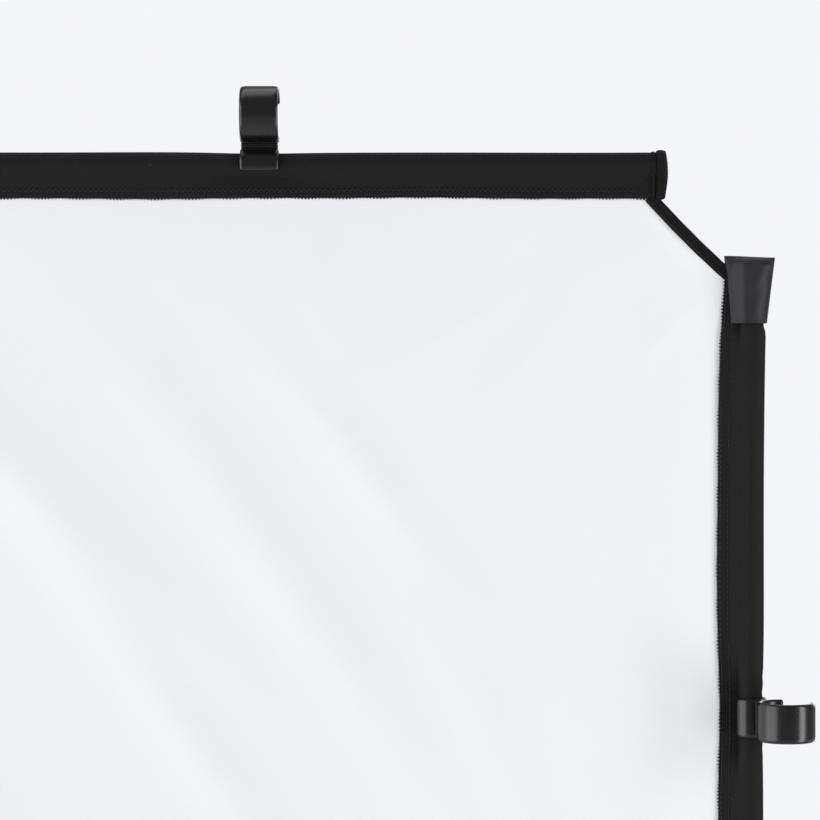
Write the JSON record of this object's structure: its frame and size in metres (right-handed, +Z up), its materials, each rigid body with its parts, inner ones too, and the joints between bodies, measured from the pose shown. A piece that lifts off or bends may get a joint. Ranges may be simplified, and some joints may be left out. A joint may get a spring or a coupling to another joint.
{
  "type": "barn door attachment",
  "caption": "Flat reversible fabric leaf on poles with swivelling moulded clips that hook it to the tube frame of a light.",
  "frame": {"origin": "the axis of the middle hook on the right edge, at the hook's mid-width", "axes": "+Z up along the upright edges, +X to the right along the level edges, -Y out of the white face"},
  "size_m": [1.0513, 0.0517, 2.2242],
  "materials": {
    "white_fabric": "smooth white coated polyester, slight sheen",
    "black_fabric": "matt black woven polyester",
    "webbing": "ribbed black webbing, sewn",
    "binding_tape": "flat black binding tape, sewn",
    "pocket_vinyl": "satin black vinyl, hemmed",
    "pole_tube": "drawn tube",
    "ferrule": "drawn tube",
    "plug_plastic": "moulded",
    "elastic_cord": "braided elastic",
    "clip_plastic": "glossy black moulded plastic"
  },
  "bodies": {
    "panel": {"white_face_fabric": "white_fabric", "black_backing_fabric": "black_fabric", "right_sleeve": "webbing", "right_pole_tubes": "pole_tube", "right_pole_ferrules": "ferrule", "right_pole_end_plugs": "plug_plastic", "right_pole_shock_cord": "elastic_cord", "left_sleeve": "webbing", "left_pole_tubes": "pole_tube", "left_pole_ferrules": "ferrule", "left_pole_end_plugs": "plug_plastic", "left_pole_shock_cord": "elastic_cord", "top_sleeve": "webbing", "top_pole_tubes": "pole_tube", "top_pole_ferrules": "ferrule", "top_pole_end_plugs": "plug_plastic", "top_pole_shock_cord": "elastic_cord", "bottom_sleeve": "webbing", "bottom_pole_tubes": "pole_tube", "bottom_pole_ferrules": "ferrule", "bottom_pole_end_plugs": "plug_plastic", "bottom_pole_shock_cord": "elastic_cord", "top_right_corner_tape": "binding_tape", "top_right_sleeve_end_binding": "binding_tape", "top_right_pole_pocket": "pocket_vinyl", "top_left_corner_tape": "binding_tape", "top_left_sleeve_end_binding": "binding_tape", "top_left_pole_pocket": "pocket_vinyl", "bottom_right_corner_tape": "binding_tape", "bottom_right_sleeve_end_binding": "binding_tape", "bottom_right_pole_pocket": "pocket_vinyl", "bottom_left_corner_tape": "binding_tape", "bottom_left_sleeve_end_binding": "binding_tape", "bottom_left_pole_pocket": "pocket_vinyl"},
    "right_lower_clip": {"right_lower_clip": "clip_plastic"},
    "right_middle_clip": {"right_middle_clip": "clip_plastic"},
    "right_upper_clip": {"right_upper_clip": "clip_plastic"},
    "left_lower_clip": {"left_lower_clip": "clip_plastic"},
    "left_middle_clip": {"left_middle_clip": "clip_plastic"},
    "left_upper_clip": {"left_upper_clip": "clip_plastic"},
    "top_left_clip": {"top_left_clip": "clip_plastic"},
    "top_right_clip": {"top_right_clip": "clip_plastic"},
    "bottom_left_clip": {"bottom_left_clip": "clip_plastic"},
    "bottom_right_clip": {"bottom_right_clip": "clip_plastic"}
  },
  "joints": [
    {"name": "right_lower_swivel", "type": "hinge", "parent": "panel", "child": "right_lower_clip", "pos_m": [-0.01634, 0.02249, -0.7616], "axis": [0, 0, 1], "range_deg": [-1, 109]},
    {"name": "right_middle_swivel", "type": "hinge", "parent": "panel", "child": "right_middle_clip", "pos_m": [-0.01634, 0.02249, 0], "axis": [0, 0, 1], "range_deg": [-1, 109]},
    {"name": "right_upper_swivel", "type": "hinge", "parent": "panel", "child": "right_upper_clip", "pos_m": [-0.01634, 0.02249, 0.7616], "axis": [0, 0, 1], "range_deg": [-1, 109]},
    {"name": "left_lower_swivel", "type": "hinge", "parent": "panel", "child": "left_lower_clip", "pos_m": [-1.00294, 0.02249, -0.7616], "axis": [0, 0, -1], "range_deg": [-1, 109]},
    {"name": "left_middle_swivel", "type": "hinge", "parent": "panel", "child": "left_middle_clip", "pos_m": [-1.00294, 0.02249, 0], "axis": [0, 0, -1], "range_deg": [-1, 109]},
    {"name": "left_upper_swivel", "type": "hinge", "parent": "panel", "child": "left_upper_clip", "pos_m": [-1.00294, 0.02249, 0.7616], "axis": [0, 0, -1], "range_deg": [-1, 109]},
    {"name": "top_left_swivel", "type": "hinge", "parent": "panel", "child": "top_left_clip", "pos_m": [-0.73004, 0.02249, 1.0683], "axis": [-1, 0, 0], "range_deg": [-55, 55]},
    {"name": "top_right_swivel", "type": "hinge", "parent": "panel", "child": "top_right_clip", "pos_m": [-0.28924, 0.02249, 1.0683], "axis": [-1, 0, 0], "range_deg": [-55, 55]},
    {"name": "bottom_left_swivel", "type": "hinge", "parent": "panel", "child": "bottom_left_clip", "pos_m": [-0.73004, 0.02249, -1.0683], "axis": [1, 0, 0], "range_deg": [-55, 55]},
    {"name": "bottom_right_swivel", "type": "hinge", "parent": "panel", "child": "bottom_right_clip", "pos_m": [-0.28924, 0.02249, -1.0683], "axis": [1, 0, 0], "range_deg": [-55, 55]}
  ]
}
